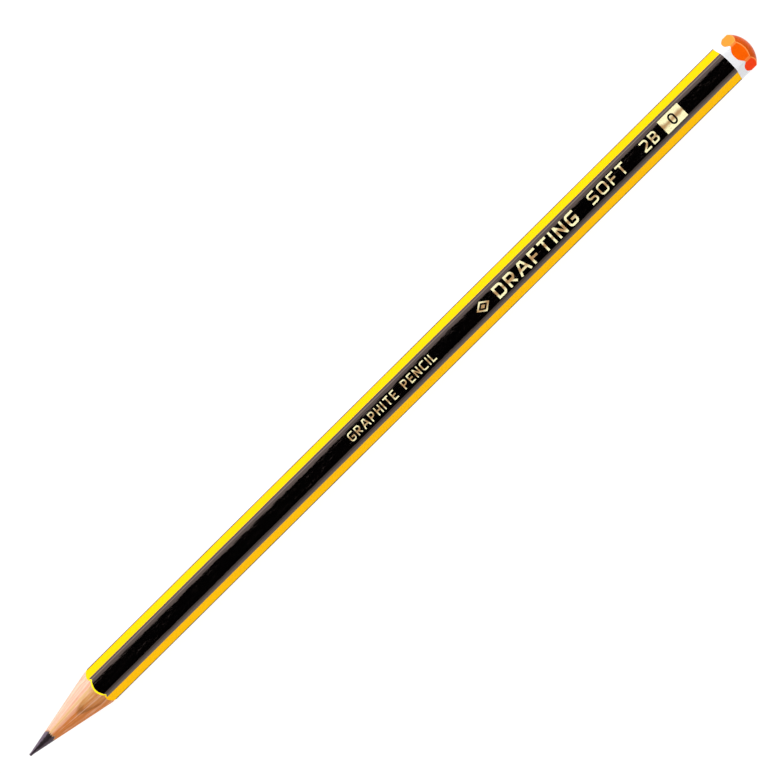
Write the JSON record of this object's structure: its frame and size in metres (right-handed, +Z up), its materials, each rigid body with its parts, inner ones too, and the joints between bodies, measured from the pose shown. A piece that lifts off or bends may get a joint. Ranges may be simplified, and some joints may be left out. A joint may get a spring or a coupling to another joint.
{
  "type": "graphite pencil",
  "caption": "Sharpened hexagonal wood-cased graphite pencil with yellow and black striped lacquer, a white band and an orange dipped end.",
  "frame": {"origin": "middle of the bottom of the bounding box, on the surface that the pencil lies on", "axes": "+X along the pencil from its point to its dipped end, +Y across it towards the tops of the foil letters, +Z up, out of the face with the foil marks"},
  "size_m": [0.175, 0.0074, 0.0066],
  "materials": {
    "wood": "bare sharpened cedar-like wood, fine straight grain",
    "graphite": "grey-black graphite and clay with a dull metallic sheen",
    "glue": "thin cream glue line",
    "yellow_lacquer": "gloss lacquer",
    "black_lacquer": "gloss lacquer",
    "white_lacquer": "gloss lacquer",
    "orange_lacquer": "gloss lacquer",
    "foil": "hot-stamped pale gold foil"
  },
  "bodies": {
    "root": {"wood_slat_upper": "wood", "wood_slat_lower": "wood", "graphite_core": "graphite", "glue_film": "glue", "yellow_base_coat": "yellow_lacquer", "black_stripe_top": "black_lacquer", "black_stripe_bottom": "black_lacquer", "black_edge_stripe_left": "black_lacquer", "black_edge_stripe_right": "black_lacquer", "white_dip_band": "white_lacquer", "orange_dip_cap": "orange_lacquer", "foil_small_line": "foil", "foil_emblem": "foil", "foil_large_word": "foil", "foil_second_word": "foil", "foil_grade_mark": "foil", "foil_figure_block": "foil"}
  },
  "joints": []
}
